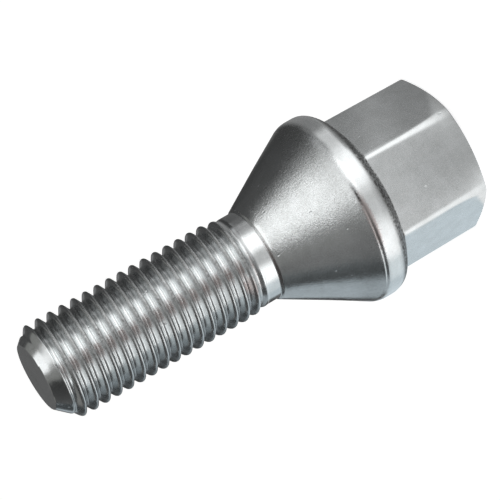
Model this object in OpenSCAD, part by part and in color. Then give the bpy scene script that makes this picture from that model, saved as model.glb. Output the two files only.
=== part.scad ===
// Wheel bolt with a cone seat, cold forged in one piece with a rolled thread.
// It stands on the flat end of its hexagon, with the thread pointing up.

/* [Thread] */
// Diameter over the thread crests, a little under the nominal size
thread_d = 11.85; // [9.7:0.01:15.9]
// Distance between neighbouring crests
pitch = 1.5; // [1:0.25:2]
// Depth of the thread as a share of the pitch
depth_share = 0.61; // [0.45:0.01:0.61]
// Turn of the thread, seen along the axis
hand = "left"; // [left, right]
// Reach from the start of the cone to the tip
reach = 28.35; // [20:0.05:50]
// Distance from the tip to a crest, straight above the middle of one of the hexagon's sides
crest_at = 1.25; // [0:0.05:1.5]

/* [Tip] */
// Diameter of the flat end face
tip_d = 8.3; // [5:0.1:9]
// Angle of the lead chamfer, measured from the axis
tip_angle = 40; // [30:1:60]

/* [Shank] */
// Diameter of the plain shank, which is the blank that the thread is rolled on
shank_d = 10.87; // [8.9:0.01:14.8]
// Length of the plain shank between the thread and the cone
shank_h = 2.05; // [1.5:0.05:10]
// Turns over which the thread runs out into the shank
runout_turns = 1.8; // [0.5:0.1:2]

/* [Cone seat] */
// Included angle of the cone that seats in the wheel
seat_angle = 60; // [50:1:90]
// How far the small end of the cone stands proud of the shank
seat_step = 0.29; // [0.05:0.01:1]
// Height of the fillet under that step
step_h = 0.22; // [0.05:0.01:1]
// Diameter of the rounded rim at the top of the cone
rim_d = 22.9; // [20:0.1:30]
// Radius of the edge between the cone and the rim
rim_front_r = 2.2; // [0.5:0.1:2.5]
// Height of the straight band of the rim
rim_band_h = 0.9; // [0.5:0.1:4]
// Radius of the edge on the back of the rim
rim_back_r = 2.1; // [0.5:0.1:3]
// Diameter of the low ring that the hexagon grows out of
ring_d = 18.9; // [18:0.1:20]
// Height of that ring
ring_h = 0.3; // [0.2:0.05:2]

/* [Hexagon] */
// Size across the flats
hex_af = 17; // [14:0.5:18]
// Radius of the six upright edges
hex_edge_r = 1; // [0.3:0.1:2]
// Height of the hexagon above its ring
hex_h = 12.1; // [6:0.1:20]
// Diameter of the flat end face inside the corner chamfer
face_d = 16; // [12:0.1:16.5]
// Slope of the corner chamfer, measured from the end face
chamfer_angle = 30; // [15:1:45]

/* [Hidden] */

$fn = 96;
// Straight facets in each turn of the thread
TURN_FACETS = 30;
// Share of the pitch at which each corner of the rolled profile lies
PROFILE_AT = [0, 0.1, 0.41, 0.47, 0.53, 0.59, 0.9];
// Height of those corners, as a share of the thread's depth
PROFILE_HIGH = [0, 0.04, 0.93, 1, 1, 0.93, 0.04];

// Radii
thread_r = thread_d / 2;
shank_r = shank_d / 2;
seat_r = shank_r + seat_step;
tip_r = tip_d / 2;
rim_r = rim_d / 2;
root_r = thread_r - depth_share * pitch;

// Heights, from the end face of the hexagon up to the tip
ring_z = hex_h;
rim_z = ring_z + ring_h;
band_z = rim_z + rim_back_r;
front_z = band_z + rim_band_h;
// The rounded front edge turns from straight up to the slope of the cone
half_seat = seat_angle / 2;
cone_top_r = rim_r - rim_front_r * (1 - cos(half_seat));
cone_top_z = front_z + rim_front_r * sin(half_seat);
cone_h = (cone_top_r - seat_r) / tan(half_seat);
seat_z = cone_top_z + cone_h;
thread_z = seat_z + shank_h;
tip_z = seat_z + reach;
thread_h = tip_z - thread_z;

// Points on an arc, from angle a to angle b
function arc(x, z, r, a, b, n = 12) =
    [for (i = [0:n]) let (t = a + (b - a) * i / n) [x + r * cos(t), z + r * sin(t)]];

// The thread is one grid of points that winds round the axis: a row for each
// facet and a column for each corner of the profile. The last column of a
// row is the first column of the row one turn on, so the turns share edges.
turn_n = TURN_FACETS;
cols = len(PROFILE_AT);
// The grid stays this far from both ends, and its middle column, a crest, ends where crest_at says
end_gap = 0.05;
start_z = end_gap + (thread_h - crest_at - pitch / 2 - end_gap) % pitch;
rows = floor(((thread_h - end_gap - start_z) / pitch - 1) * turn_n);
way = hand == "right" ? 1 : -1;
// The facets start just inside the round shank
foot_r = shank_r - 0.02;

// Share of the full thread at row i, which fades out along the shank
function fade(i) = min(1, i / (runout_turns * turn_n));
// Radius of the lead chamfer at height z above the start of the thread
function lead_r(z) = tip_r + (thread_h - z) * tan(tip_angle);
// Radius of the rolled profile at row i and column j
function rolled_r(i, j) =
    foot_r + (root_r + PROFILE_HIGH[j] * (thread_r - root_r) - foot_r) * fade(i);
function thread_point(i, j) =
    let (z = start_z + (i / turn_n + PROFILE_AT[j]) * pitch)
    let (r = min(rolled_r(i, j), lead_r(z)))
    let (a = way * i * 360 / turn_n)
    [r * cos(a), r * sin(a), z];
function ring_points(r, z) =
    [for (i = [0:turn_n - 1]) let (a = way * i * 360 / turn_n) [r * cos(a), r * sin(a), z]];
// Number of the point at row i and column j, where column cols is one turn on
function at(i, j) = j < cols ? i * cols + j : at(i + turn_n, j - cols);

module thread() {
    grid = [for (i = [0:rows + turn_n]) for (j = [0:cols - 1]) thread_point(i, j)];
    low = len(grid);
    high = low + turn_n;
    points = concat(grid, ring_points(foot_r, 0), ring_points(tip_r, thread_h));
    sides = [for (i = [0:rows - 1]) for (j = [0:cols - 1])
        [at(i, j), at(i, j + 1), at(i + 1, j + 1), at(i + 1, j)]];
    // Facets between the flat ends and the first and last turn
    foot = [for (i = [0:turn_n - 2]) [low + i, at(i, 0), at(i + 1, 0), low + i + 1]];
    foot_step = [concat([low + turn_n - 1, at(turn_n - 1, 0)],
        [for (j = [cols:-1:0]) at(0, j)], [low])];
    crown = [for (i = [1:turn_n - 1])
        [at(rows + i, 0), high + (rows + i) % turn_n,
         high + (rows + i + 1) % turn_n, at(rows + i + 1, 0)]];
    crown_step = [concat([at(rows + 1, 0)], [for (j = [0:cols]) at(rows, j)],
        [high + rows % turn_n, high + (rows + 1) % turn_n])];
    ends = [[for (i = [0:turn_n - 1]) low + i], [for (i = [turn_n - 1:-1:0]) high + i]];
    faces = concat(sides, foot, foot_step, crown, crown_step, ends);
    turned = [for (f = faces) concat([f[0]], [for (k = [len(f) - 1:-1:1]) f[k]])];
    polyhedron(points, way > 0 ? faces : turned);
}

// Shank, cone, rim and ring, turned about the axis
module seat() {
    rotate_extrude()
        polygon(concat(
            [[0, ring_z], [ring_d / 2, ring_z], [ring_d / 2, rim_z]],
            arc(rim_r - rim_back_r, band_z, rim_back_r, -90, 0),
            arc(rim_r - rim_front_r, front_z, rim_front_r, 0, half_seat),
            [[seat_r, seat_z], [shank_r, seat_z + step_h], [shank_r, thread_z], [0, thread_z]]));
}

// Hexagon with rounded upright edges, its end corners chamfered all round
module hexagon() {
    corner_r = (hex_af / 2 - hex_edge_r) / cos(30);
    blank_r = hex_af;
    intersection() {
        linear_extrude(ring_z)
            hull()
                for (a = [30:60:330])
                    rotate(a)
                        translate([corner_r, 0])
                            circle(hex_edge_r, $fn = 24);
        rotate_extrude()
            polygon([[0, 0], [face_d / 2, 0],
                [blank_r, (blank_r - face_d / 2) * tan(chamfer_angle)],
                [blank_r, ring_z], [0, ring_z]]);
    }
}

module wheel_bolt() {
    color("silver") {
        hexagon();
        seat();
        translate([0, 0, thread_z])
            thread();
    }
}

wheel_bolt();
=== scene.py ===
"""Wheel bolt with a cone seat, standing on the flat end of its hexagon with the thread up.

Lengths are in millimetres, and MM turns them into metres where a mesh, a lamp or the camera is
made. Azimuths go round the axis from +X.
"""

import bpy
import numpy as np
from mathutils import Matrix, Vector


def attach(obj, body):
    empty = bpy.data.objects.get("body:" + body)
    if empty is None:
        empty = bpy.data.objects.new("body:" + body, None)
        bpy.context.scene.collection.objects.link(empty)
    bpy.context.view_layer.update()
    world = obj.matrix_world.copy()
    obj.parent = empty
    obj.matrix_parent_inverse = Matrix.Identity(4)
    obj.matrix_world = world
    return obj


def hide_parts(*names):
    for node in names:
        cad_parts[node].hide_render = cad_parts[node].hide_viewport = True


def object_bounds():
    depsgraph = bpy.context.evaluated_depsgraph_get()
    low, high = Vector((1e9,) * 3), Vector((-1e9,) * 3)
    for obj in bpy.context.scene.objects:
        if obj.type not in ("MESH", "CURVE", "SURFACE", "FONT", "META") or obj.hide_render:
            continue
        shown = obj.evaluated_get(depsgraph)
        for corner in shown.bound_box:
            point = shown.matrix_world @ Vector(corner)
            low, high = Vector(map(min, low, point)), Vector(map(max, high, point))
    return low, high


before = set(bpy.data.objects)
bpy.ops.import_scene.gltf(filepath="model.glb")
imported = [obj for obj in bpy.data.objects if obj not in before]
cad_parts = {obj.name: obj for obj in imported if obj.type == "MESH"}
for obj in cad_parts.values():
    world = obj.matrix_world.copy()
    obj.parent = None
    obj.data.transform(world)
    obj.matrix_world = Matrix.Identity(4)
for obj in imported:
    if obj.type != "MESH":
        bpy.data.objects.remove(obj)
cad_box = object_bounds()

MM = 0.001
LENGTH = cad_box[1][2] / MM

# Camera
# A phone-sized camera close to the tip's side, rolled so that the thread points down and left.
CAMERA_AZIMUTH = 8.06
CAMERA_ELEVATION = 16.11
CAMERA_ROLL = -119.92
CAMERA_DISTANCE = 216.1
LENS_MM = 138.53
# Point on which the camera is centred, from the axis and down from the tip
AIM = Vector((-0.11, 0.76, LENGTH - 28.03))


def direction(azimuth, elevation):
    """Unit vector at an azimuth from +X and an elevation above the floor, both in degrees."""
    a, e = np.radians(azimuth), np.radians(elevation)
    return Vector((np.cos(e) * np.cos(a), np.cos(e) * np.sin(a), np.sin(e)))


toward = direction(CAMERA_AZIMUTH, CAMERA_ELEVATION)
roll = Matrix.Rotation(np.radians(CAMERA_ROLL), 3, "Z")
lens = bpy.data.cameras.new("photo_camera")
lens.lens = LENS_MM
lens.sensor_width = 36
lens.clip_start = 0.01
camera = bpy.data.objects.new("photo_camera", lens)
camera_place = Matrix.Translation((AIM + toward * CAMERA_DISTANCE) * MM)
camera.matrix_world = camera_place @ (toward.to_track_quat("Z", "Y").to_matrix() @ roll).to_4x4()
bpy.context.collection.objects.link(camera)
bpy.context.scene.camera = camera
bpy.context.scene.view_settings.view_transform = "Standard"


# Bolt body
# The real bolt is one piece of medium carbon steel. Its head, rim and cone are cold forged on the
# end of a round blank, its tip is chamfered, and the thread is rolled on the blank between dies.
THREAD_R = 5.9
ROOT_R = 5.03
PITCH = 1.5
HAND = -1
CREST_ROUND = 0.22
# Height of a sharp 60 degree thread, as a share of its pitch
SHARP_SHARE = 0.866
# One crest passes this angle at this distance below the tip
CREST_ANGLE = np.radians(98.06)
CREST_BELOW_TIP = 3.16

# Lead chamfer, which was cut a little off the axis, and the crease where it cuts the thread
TIP_R = 4.03
TIP_ANGLE = np.radians(43)
TIP_OFF = 0.35
TIP_OFF_ANGLE = np.radians(98)
TIP_CREASE = 0.12
# The bar was cropped askew: how far the end face drops towards one side, per millimetre, and the
# depths below the tip at which the lean begins and is full
TIP_SLOPE = 0.042
TIP_LOW_ANGLE = np.radians(8)
TIP_LEAN_DEEP = 2.2
TIP_LEAN_FULL = 0.2

# Plain shank. The thread starts to rise RUNOUT_BELOW under its top and is full RUNOUT above it
SHANK_R = 5.48
SHANK_Z = LENGTH - 26.3
RUNOUT = 2.6
RUNOUT_BELOW = 0.25
RUNOUT_POWER = 0.55

# Cone seat. Its small end stands a little proud of the shank, on a steep step with a fillet
SEAT_Z = LENGTH - 28.35
SEAT_R = 5.75
SEAT_HALF = np.radians(30)
STEP_HIGH = 0.22
STEP_STEEP = 20
STEP_CREASE = 0.03

# Rim with two rounded edges and a straight band between them, on the ring below the hexagon
RIM_R = 11.5
RIM_FRONT_R = 2.6
RIM_BAND = 0.85
RIM_BACK_R = 1.95
RING_R = 9.45
RING_Z = LENGTH - 42.15
# A fold left by the die between cone and rim, on the front: its height, depth, half its width,
# and the azimuth of its middle and half its length in degrees
FOLD_Z = LENGTH - 38.3
FOLD_DEEP = 0.07
FOLD_HALF = 0.12
FOLD_AT = -22
FOLD_SPAN = 38

# Hexagon: half its size across flats, the radius of its edges at both ends, and its corner chamfer,
# which was turned about an axis CHAMFER_OFF from the hexagon's own
HEX_HALF = 8.5
EDGE_R_TOP = 0.85
EDGE_R_END = 1.4
FACE_R = 7.4
CHAMFER = np.radians(20)
CHAMFER_OFF = 0.15
# Fillet between ring and hexagon, and how steeply the ring's edge falls away under it
RING_FILLET = 0.14
RING_STEEP = 40
# The dies met a little out of line: how far rim and hexagon lie off the shank's axis, and how far
# below the cone's small end and below the top of the rim's band the two shifts begin
OFF_ANGLE = np.radians(-82)
RIM_OFF = 0.12
RIM_SHIFT_BELOW = 4.5
HEX_OFF = 0.37
HEX_SHIFT_BELOW = 1.2

# Angles of the grid round the axis: close together over the six edges, wider on the flats
EDGE_SPAN = 5.6
near = np.linspace(-EDGE_SPAN, EDGE_SPAN, 17)[:-1]
far = np.linspace(EDGE_SPAN, 60 - EDGE_SPAN, 17)[:-1]
ANGLES = np.radians(np.concatenate([30 + 60 * k + np.concatenate([near, far]) for k in range(6)]))
AROUND = len(ANGLES)
# The same with the first angle again at the end, which closes a grid
CLOSED = np.append(ANGLES, ANGLES[0])


def smooth_step(low, high, x):
    """0 at low, 1 at high, held outside them, and an S-shaped cubic between."""
    t = np.clip((x - low) / (high - low), 0, 1)
    return t * t * (3 - 2 * t)


def soft_max(a, b, k):
    """The larger of a and b, with the crease between them rounded over about k."""
    return (a + b + np.sqrt((a - b) ** 2 + k * k)) / 2


def soft_min(a, b, k):
    """The smaller of a and b, with the crease between them rounded over about k."""
    return -soft_max(-a, -b, k)


def bell(x, half):
    """1 where x is 0, and about a third where it is half to either side."""
    return np.exp(-((x / half) ** 2))


def apart(azimuth, at):
    """Angle from at to azimuth, the short way round, in degrees."""
    return (azimuth - at + 180) % 360 - 180


def turns_below_crest(angle, z):
    """Turns of the thread between a point and the crest line, positive below it: the depth below
    the tip over the pitch, plus HAND turns for each turn round the axis."""
    round_axis = HAND * (angle - CREST_ANGLE) / (2 * np.pi)
    return (LENGTH - z - CREST_BELOW_TIP) / PITCH + round_axis


def thread_height(x):
    """Radius of the rolled profile at axial distance x from a crest, x in half a pitch either way:
    two 60 degree flanks joined by a crest arc and a root arc that both touch them."""
    x = np.abs(x)
    crest = CREST_ROUND
    root = SHARP_SHARE * PITCH - (THREAD_R - ROOT_R) - crest
    edge = np.sqrt(3) / 2
    on_crest = THREAD_R - crest + np.sqrt(np.maximum(crest**2 - x**2, 0))
    on_flank = THREAD_R - crest / 2 - np.sqrt(3) * (x - edge * crest)
    y = PITCH / 2 - x
    on_root = ROOT_R + root - np.sqrt(np.maximum(root**2 - y**2, 0))
    return np.where(x < edge * crest, on_crest, np.where(y < edge * root, on_root, on_flank))


def thread_radius(angle, z):
    """Radius of shank, thread and lead chamfer: the rolled profile at the distance from the nearest
    crest, faded into the shank at its lower end and cut by the cone of the chamfer at its upper."""
    turns = turns_below_crest(angle, z)
    rolled = thread_height((turns - np.round(turns)) * PITCH)
    full = smooth_step(SHANK_Z - RUNOUT_BELOW, SHANK_Z + RUNOUT, z)
    shape = SHANK_R + (rolled - SHANK_R) * full**RUNOUT_POWER
    off = TIP_OFF * np.cos(angle - TIP_OFF_ANGLE)
    lead = TIP_R + (LENGTH - z) * np.tan(TIP_ANGLE) + off
    return soft_min(shape, lead, TIP_CREASE)


def rim_band_top():
    """Height at which the rim's front arc, which touches the cone, turns straight down."""
    centre_r = RIM_R - RIM_FRONT_R
    touch_r = centre_r + RIM_FRONT_R * np.cos(SEAT_HALF)
    touch_z = SEAT_Z - (touch_r - SEAT_R) / np.tan(SEAT_HALF)
    return touch_z - RIM_FRONT_R * np.sin(SEAT_HALF)


def body_radius(z):
    """Radius of the turned form below the thread: shank, step, cone, and the rim's front arc,
    straight band and back arc."""
    cone = SEAT_R + (SEAT_Z - z) * np.tan(SEAT_HALF)
    cut_off = SEAT_R + STEP_STEEP * (SEAT_Z - z + 0.02)
    step = SHANK_R + (SEAT_R - SHANK_R) * smooth_step(SEAT_Z + STEP_HIGH, SEAT_Z, z)
    neck = soft_max(np.minimum(cone, cut_off), step, STEP_CREASE)
    band_high = rim_band_top()
    band_low = band_high - RIM_BAND
    front = RIM_R - RIM_FRONT_R + np.sqrt(np.maximum(RIM_FRONT_R**2 - (z - band_high) ** 2, 0))
    back = RIM_R - RIM_BACK_R + np.sqrt(np.maximum(RIM_BACK_R**2 - (z - band_low) ** 2, 0))
    front_start = band_high + RIM_FRONT_R * np.sin(SEAT_HALF)
    r = np.where(z > front_start, neck, np.where(z > band_high, front, RIM_R))
    return np.where(z < band_low, back, r)


def fold_depth(angle, z):
    """Depth of the fold between cone and rim: a narrow bell in height, fading out round the axis."""
    side = np.minimum(np.abs(apart(np.degrees(angle), FOLD_AT)) / FOLD_SPAN, 1)
    return FOLD_DEEP * (1 - side**2) * bell(z - FOLD_Z, FOLD_HALF)


def hex_radius(angle, z):
    """Distance from the axis to the hexagon's side, its six edges rounded more towards the end: a
    circle of radius r that touches both flats, and the flats beside it."""
    share = np.clip(z / RING_Z, 0, 1)
    r = EDGE_R_END + (EDGE_R_TOP - EDGE_R_END) * share
    half_side = np.radians(30)
    a = (angle - half_side) % (2 * half_side)
    a = np.minimum(a, 2 * half_side - a)
    centre = (HEX_HALF - r) / np.cos(half_side)
    touch = np.arctan2(r / 2, centre + r * np.cos(half_side))
    flat = HEX_HALF / np.cos(half_side - a)
    arc = centre * np.cos(a) + np.sqrt(np.maximum(r * r - (centre * np.sin(a)) ** 2, 0))
    return np.where(a < touch, arc, flat)


def points_at(angle, r, z):
    """Points from cylinder coordinates."""
    angle, r, z = np.broadcast_arrays(angle, r, z)
    return np.stack([r * np.cos(angle), r * np.sin(angle), z], -1)


def thread_grid(low, high):
    """Grid of the thread between two heights, which winds up round the axis as the thread does: each
    row crosses one pitch from root to root, with points closer on the roots and the crest. It runs
    a turn past both ends, and what lies past an end is laid on that end's ring."""
    turns = int(np.ceil((high - low) / PITCH)) + 1
    order = ANGLES if HAND > 0 else ANGLES[::-1]
    row = np.arange(-AROUND, turns * AROUND + 1)
    angle = order[row % AROUND][:, None]
    risen = np.floor_divide(row, AROUND)[:, None] + HAND * (angle - order[0]) / (2 * np.pi)
    crest = LENGTH - CREST_BELOW_TIP + HAND * PITCH * (order[0] - CREST_ANGLE) / (2 * np.pi)
    root = crest + PITCH / 2
    start = root - PITCH * np.ceil((root - low) / PITCH)
    across = np.linspace(0, 1, 17)
    across = across - 0.03 * np.sin(4 * np.pi * across)
    z = np.clip(start + PITCH * (risen + across), low, high)
    return points_at(angle, thread_radius(angle, z), z)


def tip_grid(high):
    """Grid of the flat end face: its edge drawn in to the axis, with close rings at the edge so that
    the smooth shading of the chamfer ends there."""
    edge_share = 0.12
    close = 1 - edge_share * np.linspace(0, 1, 7)
    wide = (1 - edge_share) * (1 - np.linspace(0, 1, 9)[1:])
    shares = np.concatenate([close, wide])[:, None]
    return points_at(CLOSED, thread_radius(CLOSED, high) * shares, high)


def body_grid(low):
    """Grid of the turned form from the thread's foot down to the ring, with the hexagon's edges
    growing out of the ring. Rows are closer where the profile bends more."""
    band = rim_band_top()
    neck_high, neck_low = SEAT_Z + 0.6, SEAT_Z - 0.8
    arc_high = band + RIM_FRONT_R * 0.55
    back_low = RING_Z + 0.02
    t = np.linspace(0, 1, 30)[1:]
    z = np.concatenate([
        np.linspace(low, neck_high, 5),
        np.linspace(neck_high, neck_low, 16)[1:],
        np.linspace(neck_low, arc_high, 20)[1:],
        np.linspace(arc_high, band, 29)[1:],
        band - (band - back_low) * (0.55 * t + 0.45 * np.sin(t * np.pi / 2)),
    ])[:, None]
    body = body_radius(z) - fold_depth(CLOSED, z)
    body[0] = thread_radius(CLOSED, low)
    ring = np.maximum(body, np.where(z < RING_Z + 1.2, RING_R, 0))
    hexagon = hex_radius(CLOSED, np.minimum(z, RING_Z))
    r = np.where(z < RING_Z + 2.5, soft_max(ring, hexagon, RING_FILLET), body)
    return points_at(CLOSED, r, z)


def hexagon_grids(ring_edge):
    """Three grids from the ring's last row of points: down the hexagon's sides, over the cone of
    the corner chamfer, and across the end face. Rows are close at both ends of the sides."""
    close_top, close_end = [0, 0.003, 0.006, 0.012], [0.993, 1]
    share = np.concatenate([close_top, np.linspace(0.02, 0.985, 16), close_end])[:, None]
    face_r = FACE_R - CHAMFER_OFF * np.cos(CLOSED - OFF_ANGLE)
    end_z = (hex_radius(CLOSED, 0) - face_r) * np.tan(CHAMFER)
    z = RING_Z - share * (RING_Z - end_z)
    r = hex_radius(CLOSED, z)
    drop = RING_Z - z
    r = np.where(drop < 0.1, soft_max(r, RING_R - drop * RING_STEEP, RING_FILLET), r)
    sides = points_at(CLOSED, r, z)
    sides[0] = ring_edge
    t = np.array([0, 0.05, 0.35, 0.65, 0.95, 1])[:, None]
    chamfer = points_at(CLOSED, r[-1] + (face_r - r[-1]) * t, z[-1] * (1 - t))
    face = points_at(CLOSED, face_r * np.array([1, 0.98, 0.8, 0.6, 0.4, 0.2, 0])[:, None], 0.0)
    return sides, chamfer, face


def grid_faces(rows, cols, flip=False):
    """Four-cornered faces of a grid of points numbered row by row."""
    i = np.arange(rows - 1)[:, None] * cols + np.arange(cols - 1)
    quad = np.stack([i, i + cols, i + cols + 1, i + 1], -1).reshape(-1, 4)
    return quad[:, ::-1] if flip else quad


def join_grids(grids):
    """One array of points and one of faces from pairs of a grid and whether its faces flip."""
    counts = [grid.shape[0] * grid.shape[1] for grid, flip in grids]
    starts = np.cumsum([0] + counts)
    quads = [grid_faces(*grid.shape[:2], flip) + start for (grid, flip), start in zip(grids, starts)]
    return np.concatenate([grid.reshape(-1, 3) for grid, flip in grids]), np.concatenate(quads)


def move_head(points):
    """Slides each level of the head sideways, from none at the neck to all of it at the hexagon."""
    z = points[:, 2]
    band = rim_band_top()
    share = RIM_OFF * smooth_step(SEAT_Z - RIM_SHIFT_BELOW, band, z)
    share = share + (HEX_OFF - RIM_OFF) * smooth_step(band - HEX_SHIFT_BELOW, RING_Z, z)
    points[:, 0] += share * np.cos(OFF_ANGLE)
    points[:, 1] += share * np.sin(OFF_ANGLE)
    return points


def tilt_tip(points):
    """Lowers one side of the end face and raises the other, fading out below the tip."""
    lean = points[:, 0] * np.cos(TIP_LOW_ANGLE) + points[:, 1] * np.sin(TIP_LOW_ANGLE)
    full = smooth_step(LENGTH - TIP_LEAN_DEEP, LENGTH - TIP_LEAN_FULL, points[:, 2])
    points[:, 2] -= TIP_SLOPE * lean * full
    return points


def add_mesh(name, points, quads, layers):
    """Object whose mesh joins equal points and drops what has shrunk to a line. layers are named
    values for each point, kept as attributes for the materials."""
    equal_mm = 1e-5
    steps = np.round(points / equal_mm).astype(np.int64)
    _, first, where = np.unique(steps, axis=0, return_index=True, return_inverse=True)
    quads = where.reshape(-1)[quads]
    same = np.stack([quads[:, k] == quads[:, (k + 1) % 4] for k in range(4)], -1)
    cross = (quads[:, 0] == quads[:, 2]) | (quads[:, 1] == quads[:, 3])
    whole = quads[~same.any(1) & ~cross]
    one = (same.sum(1) == 1) & ~cross
    three = quads[one][np.nonzero(~same[one])].reshape(-1, 3)
    mesh = bpy.data.meshes.new(name)
    mesh.from_pydata((points[first] * MM).tolist(), [], whole.tolist() + three.tolist())
    for layer, values in layers.items():
        mesh.attributes.new(layer, "FLOAT", "POINT").data.foreach_set("value", values[first])
    mesh.shade_smooth()
    mesh.validate()
    obj = bpy.data.objects.new(name, mesh)
    bpy.context.collection.objects.link(obj)
    return obj


# Finishes
# What the plating, the dies and use left on the steel, as a share of 0 to 1 at each point of the
# mesh: frosted and drawn patches of the cone, satin hexagon, streaked roots, stains and dirt, and
# also painted shade and painted reflections, kept with the stains and the dirt.
FROST_AT, FROST_HALF, FROST_LEAST = 30, 44, 0.2
# Radii between which a thread's flank turns into its streaked root
STREAK_OUT, STREAK_IN = 5.5, 5.28
# The dirty line under the cone's small end, and the one where the thread starts
NECK_LINE = SEAT_Z + 0.1
START_LINE = SHANK_Z + 0.2
# Depth below the tip at which the lowest turns, stained further round, begin and are all there
LOW_TURNS = 22, 25
# Painted shade darkens the crests from this far below their middle to this far above it, in millimetres
CREST_SHADE_LOW, CREST_SHADE_HIGH = (-0.26, -0.14), (0.34, 0.2)
# Single spots: azimuth, depth below the tip, half width in degrees, half height, and strength
STAIN_AND_REFLECTION_SPOTS = [
    # Brown on the last root, and a painted reddish-brown reflection along the lower half of the fold
    (-25, 24.8, 12, 0.45, 1),
    (-8, 38.4, 14, 0.35, 1),
]
DIRT_AND_SHADE_SPOTS = [
    # A painted dark reflection at the fold's upper end, and a thinner dark line along the fold below it
    (8, 38.25, 7, 0.16, 1),
    (-18, 38.3, 20, 0.16, 0.6),
    # A dark patch on the ring, and a speck on the edge of the first turn
    (-42, 41.6, 5, 0.5, 1),
    (10.7, 1.65, 5, 0.11, 1),
]


def facing(azimuth, at, half, least=0):
    """Bell in the angle from one azimuth, in degrees, that falls no lower than least."""
    return least + (1 - least) * bell(apart(azimuth, at), half)


def finish_layers(points):
    """How much of each finish every point has: products of steps and bells in its height z, radius
    r and azimuth, and where two marks lie on each other the stronger one counts."""
    z = points[:, 2]
    r = np.hypot(points[:, 0], points[:, 1])
    azimuth = np.degrees(np.arctan2(points[:, 1], points[:, 0]))
    from_start = smooth_step(SHANK_Z - 0.2, SHANK_Z + 0.5, z)
    rolled = from_start * smooth_step(LENGTH - 1.2, LENGTH - 2.4, z)
    streak = rolled * smooth_step(STREAK_OUT, STREAK_IN, r)
    cone = smooth_step(SEAT_Z, SEAT_Z - 0.8, z) * smooth_step(FOLD_Z - 0.6, FOLD_Z + 0.6, z)
    frost = cone * facing(azimuth, FROST_AT, FROST_HALF, FROST_LEAST)
    satin = smooth_step(RING_Z + 0.1, RING_Z - 0.1, z)
    satin = np.maximum(satin, 0.6 * smooth_step(FOLD_Z + 1, FOLD_Z, z))

    # Stains and painted reflection: a painted pink-brown reflection in the roots facing the camera, a
    # pink-brown stain further round on the lowest turns, and a stain line round the front of the neck
    low_turns = smooth_step(LENGTH - LOW_TURNS[0], LENGTH - LOW_TURNS[1], z)
    in_roots = 0.35 * facing(azimuth, 3, 11) + 0.25 * low_turns * facing(azimuth, -25, 22)
    stains_and_reflections = [streak * in_roots, 0.6 * bell(z - NECK_LINE, 0.14) * facing(azimuth, -15, 30)]

    # Dirt and painted shade: dirty lines under the cone and where the thread starts, painted shade on
    # the crests on the front, painted shade on the side that is lowest in the picture, a darker band on
    # the cone beside the fold, and painted shade on the rim's back
    turns = turns_below_crest(np.radians(azimuth), z)
    above_crest = (np.round(turns) - turns) * PITCH
    shaded_crests = rolled * smooth_step(*CREST_SHADE_LOW, above_crest) * smooth_step(*CREST_SHADE_HIGH, above_crest)
    behind_rim = smooth_step(RING_Z + 1.9, RING_Z + 1.2, z) * smooth_step(RING_Z, RING_Z + 0.1, z)
    dirt_and_shade_marks = [
        0.75 * bell(z - NECK_LINE, 0.1) * facing(azimuth, -15, 30, 0.25),
        0.5 * bell(z - START_LINE, 0.12) * facing(azimuth, -10, 50),
        # Painted shade on the crests on the front
        0.66 * shaded_crests * facing(azimuth, 12, 30, 0.15),
        # Painted shade: the thread darker on the side that is lowest in the picture
        0.95 * rolled * facing(azimuth, -88, 25),
        # A faint darker band on the cone just above the fold
        0.16 * cone * bell(z - FOLD_Z - 1.2, 1.4),
        # Painted shade on the back of the rim, in the crease against the hexagon
        0.85 * behind_rim,
    ]
    for marks, spots in (stains_and_reflections, STAIN_AND_REFLECTION_SPOTS), (dirt_and_shade_marks, DIRT_AND_SHADE_SPOTS):
        for at, deep, wide, tall, strength in spots:
            marks.append(strength * facing(azimuth, at, wide) * bell(LENGTH - z - deep, tall))
    return {
        "frost": frost, "drawn": cone - frost, "satin": satin, "streak": streak,
        "stain_and_reflection": np.max(stains_and_reflections, axis=0), "dirt_and_shade": np.max(dirt_and_shade_marks, axis=0),
    }


thread_low = SHANK_Z - 0.3
body = body_grid(thread_low)
hexagon = hexagon_grids(body[-1])
points, quads = join_grids([
    (thread_grid(thread_low, LENGTH), HAND < 0),
    (tip_grid(LENGTH), True),
    (body, False),
    *((grid, False) for grid in hexagon),
])
points = move_head(tilt_tip(points))
bolt = add_mesh("bolt_body", points, quads, finish_layers(points))


def linear(hex_colour):
    """Linear RGBA of an sRGB hex colour."""
    c = np.array([int(hex_colour[i : i + 2], 16) for i in (1, 3, 5)]) / 255
    c = np.where(c <= 0.04045, c / 12.92, ((c + 0.055) / 1.055) ** 2.4)
    return (*c.tolist(), 1.0)


def node(tree, kind, inputs=None, **settings):
    """Add one node, set its properties, and fill its inputs with values or other nodes. A node
    stands for its first output that is in use."""
    made = tree.nodes.new(kind)
    for key, value in settings.items():
        setattr(made, key, value)
    for key, value in (inputs or {}).items():
        if isinstance(value, bpy.types.Node):
            value = next(out for out in value.outputs if out.enabled)
        if isinstance(value, bpy.types.NodeSocket):
            tree.links.new(value, made.inputs[key])
        else:
            made.inputs[key].default_value = value
    return made


# Zinc plate
# Bright electroplated zinc, about a hundredth of a millimetre thick, clear passivated. It is close
# to a mirror on thread, shank and rim, frosted on one side of the forged cone and drawn lengthwise
# on the rest, and satin on the hexagon.
zinc = bpy.data.materials.new("bright_zinc_plate")
zinc.use_nodes = True
tree = zinc.node_tree
shader = tree.nodes["Principled BSDF"]
shader.inputs["Metallic"].default_value = 1.0
frost, pulled, satin, streak, stain_and_reflection, dirt_and_shade = (
    node(tree, "ShaderNodeAttribute", attribute_name=layer).outputs["Fac"]
    for layer in ("frost", "drawn", "satin", "streak", "stain_and_reflection", "dirt_and_shade")
)
# Object coordinates in millimetres
spot = node(tree, "ShaderNodeTexCoord").outputs["Object"]
spot = node(tree, "ShaderNodeMapping", {"Vector": spot, "Scale": (1 / MM,) * 3})

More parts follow.
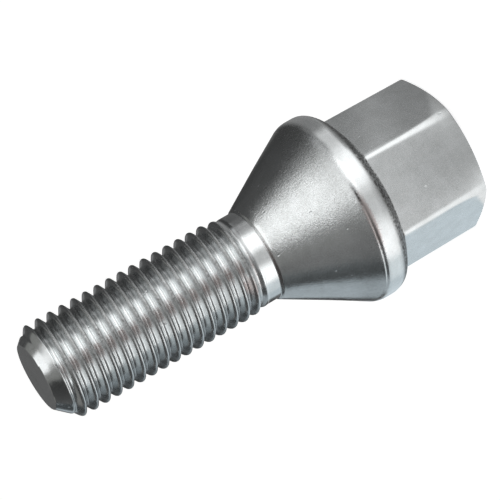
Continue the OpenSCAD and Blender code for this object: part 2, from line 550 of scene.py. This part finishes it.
# Colour: pale, with soft blotches of about 2 mm and specks of a quarter of a millimetre
blotch = {"Vector": spot, "Scale": 0.6, "Detail": 5.0, "Roughness": 0.6}
blotch = node(tree, "ShaderNodeTexNoise", blotch)
fine = node(tree, "ShaderNodeTexNoise", {"Vector": spot, "Scale": 4.0, "Detail": 3.0, "Roughness": 0.7})
tone = node(tree, "ShaderNodeMix", {0: 0.45, 2: blotch, 3: fine})
pale = node(tree, "ShaderNodeMapRange", {"Value": tone, "From Min": 0.36, "From Max": 0.64})
plate = {0: pale, 6: linear("#c6c9c9"), 7: linear("#d8dbdc")}
plate = node(tree, "ShaderNodeMix", plate, data_type="RGBA")
# A stain or a painted reflection shows where its layer and the specks together pass a threshold, so its
# edge is broken
brown = node(tree, "ShaderNodeMath", {0: stain_and_reflection, 1: fine}, operation="ADD")
brown = {"Value": brown, "From Min": 0.55, "From Max": 0.95, "To Max": 0.55}
brown = node(tree, "ShaderNodeMapRange", brown)
plate = node(tree, "ShaderNodeMix", {0: brown, 6: plate, 7: linear("#947c76")}, data_type="RGBA")
# Dirt and painted shade are their layer times the specks, so they stay soft
black = node(tree, "ShaderNodeMath", {0: dirt_and_shade, 1: fine}, operation="MULTIPLY")
black = node(tree, "ShaderNodeMapRange", {"Value": black, "From Max": 0.5, "To Max": 0.95})
plate = node(tree, "ShaderNodeMix", {0: black, 6: plate, 7: linear("#2c2a28")}, data_type="RGBA")
tree.links.new(plate.outputs[2], shader.inputs["Base Color"])
# The socket's own colour is the plate's mean, for a viewer that doesn't run the nodes
shader.inputs["Base Color"].default_value = linear("#d0d3d3")

# Roughness: lowest where the dies drew the cone, higher where it is frosted, satin, stained or dirty,
# and under painted shade and painted reflections
gloss = {"Value": fine, "From Min": 0.35, "From Max": 0.65, "To Min": 0.14, "To Max": 0.2}
gloss = node(tree, "ShaderNodeMapRange", gloss)
for layer, more in ((frost, 0.07), (pulled, -0.06), (satin, 0.08), (brown, 0.2), (black, 0.3)):
    gloss = node(tree, "ShaderNodeMath", {0: layer, 1: more, 2: gloss}, operation="MULTIPLY_ADD")
tree.links.new(gloss.outputs[0], shader.inputs["Roughness"])

# Relief in millimetres: grain of a quarter of a millimetre, deepest on the frosted cone
grain = {"Vector": spot, "Scale": 3.8, "Detail": 4.0, "Roughness": 0.75}
grain = node(tree, "ShaderNodeTexNoise", grain)
deep = node(tree, "ShaderNodeMath", {0: frost, 1: 0.034, 2: 0.0015}, operation="MULTIPLY_ADD")
deep = node(tree, "ShaderNodeMath", {0: satin, 1: 0.004, 2: deep}, operation="MULTIPLY_ADD")
relief = node(tree, "ShaderNodeMath", {0: grain, 1: deep}, operation="MULTIPLY")
# Streaks left by the rolling dies round the roots, seven to a millimetre and about 3 mm long
across = node(tree, "ShaderNodeMapping", {"Vector": spot, "Scale": (0.3, 0.3, 7.0)})
lines = {"Vector": across, "Scale": 1.0, "Detail": 3.0, "Roughness": 0.6}
lines = node(tree, "ShaderNodeTexNoise", lines)
deep = node(tree, "ShaderNodeMath", {0: streak, 1: 0.01, 2: 0.001}, operation="MULTIPLY_ADD")
relief = node(tree, "ShaderNodeMath", {0: lines, 1: deep, 2: relief}, operation="MULTIPLY_ADD")
# Lengthwise marks of about half a millimetre by 5 mm on the cone, where the die drew the metal
along = node(tree, "ShaderNodeMapping", {"Vector": spot, "Scale": (1.6, 1.6, 0.2)})
marks = {"Vector": along, "Scale": 1.0, "Detail": 4.0, "Roughness": 0.7}
marks = node(tree, "ShaderNodeTexNoise", marks)
deep = node(tree, "ShaderNodeMath", {0: pulled, 1: 0.02}, operation="MULTIPLY")
relief = node(tree, "ShaderNodeMath", {0: marks, 1: deep, 2: relief}, operation="MULTIPLY_ADD")
# Small pits and ticks from handling, one in each cell of about 2 by 4 mm
cells = node(tree, "ShaderNodeMapping", {"Vector": spot, "Scale": (0.55, 0.55, 0.25)})
cells = node(tree, "ShaderNodeTexVoronoi", {"Vector": cells, "Scale": 1.0}).outputs["Distance"]
pit = {"Value": cells, "From Min": 0.03, "From Max": 0.07, "To Min": -0.03, "To Max": 0.0}
pit = node(tree, "ShaderNodeMapRange", pit)
relief = node(tree, "ShaderNodeMath", {0: relief, 1: pit}, operation="ADD")
bump = node(tree, "ShaderNodeBump", {"Height": relief, "Distance": MM, "Strength": 1.0})
tree.links.new(bump.outputs[0], shader.inputs["Normal"])
bolt.data.materials.append(zinc)

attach(bolt, "root")
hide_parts("wheel_bolt")


# Floor
# A plain sheet of white paper under and behind the bolt. Its glow makes it white in the picture
# and in the bolt's reflections, and the bolt's shadow stays on it.
FLOOR_HALF = 2000
PAPER_GLOW = 0.8
corners = np.array([(-1, -1, 0), (1, -1, 0), (1, 1, 0), (-1, 1, 0)]) * FLOOR_HALF * MM
mesh = bpy.data.meshes.new("paper_floor")
mesh.from_pydata(corners.tolist(), [], [(0, 1, 2, 3)])
floor = bpy.data.objects.new("paper_floor", mesh)
bpy.context.collection.objects.link(floor)
paper = bpy.data.materials.new("white_paper")
paper.use_nodes = True
tree = paper.node_tree
shader = tree.nodes["Principled BSDF"]
shader.inputs["Base Color"].default_value = linear("#c8c8c8")
shader.inputs["Roughness"].default_value = 0.9
shader.inputs["Emission Color"].default_value = (1, 1, 1, 1)
ray = node(tree, "ShaderNodeLightPath").outputs
seen = node(tree, "ShaderNodeMath", {0: ray["Is Camera Ray"], 1: ray["Is Glossy Ray"]}, operation="ADD")
seen = node(tree, "ShaderNodeMath", {0: seen, 1: ray["Is Transmission Ray"]}, operation="ADD")
seen = node(tree, "ShaderNodeMath", {0: seen, 1: PAPER_GLOW}, operation="MULTIPLY")
tree.links.new(seen.outputs[0], shader.inputs["Emission Strength"])
floor.data.materials.append(paper)


# Light tent
# Glowing sheets of white, grey, black and pale blue round the bolt, which only its reflections show:
# their glow stands in for lit and shaded card, and they cast no shadow.
# Most lie on the floor from near the bolt outwards and then stand up as a wall. The last three
# hang above the others.
WHITE = (1, 1, 1)
PALE_BLUE = (0.9, 0.97, 1.0)
BLUE = (0.84, 0.94, 1.0)
CARD_COLUMNS = 61


def add_card(name, sides, feather, path, tint=WHITE):
    """Sheet round the axis between two sides, in degrees from the camera towards the bolt's upper
    side in the picture, whose side edges fade out over the feather. The path is a list of
    (distance, height, glow), where glow is how bright a mirror would show the card there."""
    out, up, glow = np.array(path).T[:, :, None]
    side = np.linspace(*sides, CARD_COLUMNS)
    one_edge = smooth_step(sides[0], sides[0] + feather, side)
    cover = np.minimum(one_edge, smooth_step(sides[1], sides[1] - feather, side))
    grid = points_at(np.radians(CAMERA_AZIMUTH + side), out, up)
    mesh = bpy.data.meshes.new(name)
    mesh.from_pydata((grid.reshape(-1, 3) * MM).tolist(), [], grid_faces(*grid.shape[:2]).tolist())
    for layer, values in (("glow", glow), ("cover", cover)):
        values = np.broadcast_to(values, grid.shape[:2])
        mesh.attributes.new(layer, "FLOAT", "POINT").data.foreach_set("value", values.ravel())
    card = bpy.data.objects.new(name, mesh)
    bpy.context.collection.objects.link(card)
    paint = bpy.data.materials.new(name)
    paint.use_nodes = True
    tree = paint.node_tree
    shader = tree.nodes["Principled BSDF"]
    shader.inputs["Base Color"].default_value = (0, 0, 0, 1)
    shader.inputs["Specular IOR Level"].default_value = 0
    shader.inputs["Emission Color"].default_value = (*tint, 1)
    for layer, socket in (("glow", "Emission Strength"), ("cover", "Alpha")):
        value = node(tree, "ShaderNodeAttribute", attribute_name=layer).outputs["Fac"]
        tree.links.new(value, shader.inputs[socket])
    mesh.materials.append(paint)
    card.visible_camera = False
    card.visible_diffuse = False
    card.visible_shadow = False
    card.visible_transmission = False


def lying(lift, floor):
    """Path along the floor from (distance, glow) pairs. Where two cards cross, the bolt's mirror
    shows the one with the greater lift."""
    return [(out, lift, glow) for out, glow in floor]


def standing(distance, wall):
    """Path up a wall at one distance from (height, glow) pairs."""
    return [(distance, up, glow) for up, glow in wall]


add_card(
    "light_left", (-16, 76), 30,
    lying(0.05, [(7.5, 0.3), (10, 0.5), (13, 1.0), (18, 1.4), (28, 1.6), (105, 1.7)])
    + [(135, 0.05, 3.0), (200, 0.05, 3.0), (398, 0.1, 1.7)]
    + standing(400, [(60, 1.6), (150, 1.1), (200, 0.75), (240, 0.6)]),
)
add_card(
    "grey_left", (38, 98), 28,
    lying(0.1, [(7.5, 0.26), (17, 0.34), (25, 0.57), (40, 0.85), (55, 0.8), (97, 0.45), (150, 0.24)])
    + [(395, 0.15, 0.35)]
    + standing(397, [(90, 0.55), (206, 0.35), (280, 0.25)]),
)
add_card(
    "dark_left", (78, 176), 14,
    lying(0.15, [(7.5, 0.27), (40, 0.3), (97, 0.12), (150, 0.06)])
    + [(391, 0.2, 0.05)]
    + standing(393, [(120, 0.08), (320, 0.08)]),
)
add_card(
    "grey_back", (160, 220), 14,
    [(97, 0.17, 0.05), (391, 0.22, 0.05)]
    + standing(392, [(60, 0.12), (110, 0.17), (200, 0.1), (320, 0.08)]),
)
add_card(
    "grey_front", (-46, 22), 28,
    lying(0.2, [(7.5, 0.56), (20, 0.52), (31, 0.62), (42, 0.72), (60, 0.82), (97, 0.66)])
    + [(387, 0.25, 0.5)]
    + standing(389, [(30, 0.45), (90, 0.35), (206, 0.3), (300, 0.34), (390, 0.45)]),
)
add_card(
    "light_right", (-88, -22), 22,
    lying(0.25, [(7.5, 1.0), (14, 1.3), (24, 1.3), (30, 1.35), (50, 1.5), (105, 1.55)])
    + [(130, 0.25, 2.9), (200, 0.25, 2.9), (270, 0.25, 0.6), (383, 0.3, 0.35)]
    + standing(385, [(110, 0.16), (250, 0.22), (330, 0.3)]),
)
add_card(
    "pale_right", (-118, -70), 14,
    lying(0.3, [(7.5, 0.6), (15, 0.6), (24, 0.8), (40, 1.05), (97, 0.95), (150, 0.7)])
    + [(379, 0.35, 0.15)]
    + standing(381, [(60, 0.06), (180, 0.09), (280, 0.22)]),
    PALE_BLUE,
)
add_card(
    "blue_right", (-165, -106), 3,
    lying(0.35, [(7.5, 0.85), (50, 0.85), (97, 0.8), (150, 0.45)])
    + [(375, 0.4, 0.55)]
    + standing(377, [(130, 0.55), (160, 0.08), (300, 0.06)]),
    BLUE,
)
add_card("grey_far_left", (66, 114), 10, lying(0.16, [(97, 0.12), (115, 0.28), (200, 0.28)]))
add_card("near_left", (44, 130), 10, lying(0.5, [(7.5, 0.28), (16, 0.32), (26, 0.45)]))
add_card("near_right", (-165, -62), 8, lying(0.5, [(7.5, 0.85), (24, 0.85)]), BLUE)
add_card("dark_far_right", (-200, -130), 10, lying(0.45, [(70, 0.5), (95, 0.06), (300, 0.05)]))
add_card("dark_right_top", (-150, -50), 24, [(370, 290, 0.1), (250, 400, 0.06), (110, 400, 0.04)])
add_card("light_left_top", (-24, 118), 36, [(230, 400, 1.5), (50, 400, 1.5)])
add_card("slip_right", (-135, -126), 3, standing(350, [(222, 1.4), (248, 1.4)]), BLUE)


# Light
# One large soft lamp to the left, and an even sky that is white at the horizon.
HORIZON_COLOUR = (1.1, 1.12, 1.15, 1)
SKY_COLOUR = (0.27, 0.27, 0.26, 1)
world = bpy.data.worlds.new("studio")
bpy.context.scene.world = world
world.use_nodes = True
tree = world.node_tree
outward = node(tree, "ShaderNodeTexCoord").outputs["Generated"]
height = node(tree, "ShaderNodeSeparateXYZ", {"Vector": outward}).outputs["Z"]
fall = node(tree, "ShaderNodeValToRGB", {"Fac": height})
horizon, above = fall.color_ramp.elements
horizon.position, horizon.color = 0.31, HORIZON_COLOUR
above.position, above.color = 0.37, SKY_COLOUR
tree.links.new(fall.outputs["Color"], tree.nodes["Background"].inputs["Color"])

LAMP_SIDE = 31
LAMP_ELEVATION = 38
LAMP_DISTANCE = 300
LAMP_WIDE = 340
LAMP_TALL = 130
LAMP_GLOW = 1.35
lamp = bpy.data.lights.new("key", "AREA")
lamp.shape = "RECTANGLE"
lamp.size = LAMP_WIDE * MM
lamp.size_y = LAMP_TALL * MM
# An area lamp shows as bright as white when its power is pi times its area
lamp.energy = LAMP_GLOW * np.pi * lamp.size * lamp.size_y
key = bpy.data.objects.new("key", lamp)
lamp_way = direction(CAMERA_AZIMUTH + LAMP_SIDE, LAMP_ELEVATION)
lamp_place = Matrix.Translation((lamp_way * LAMP_DISTANCE + Vector((0, 0, LENGTH / 2))) * MM)
key.matrix_world = lamp_place @ lamp_way.to_track_quat("Z", "Y").to_matrix().to_4x4()
bpy.context.collection.objects.link(key)
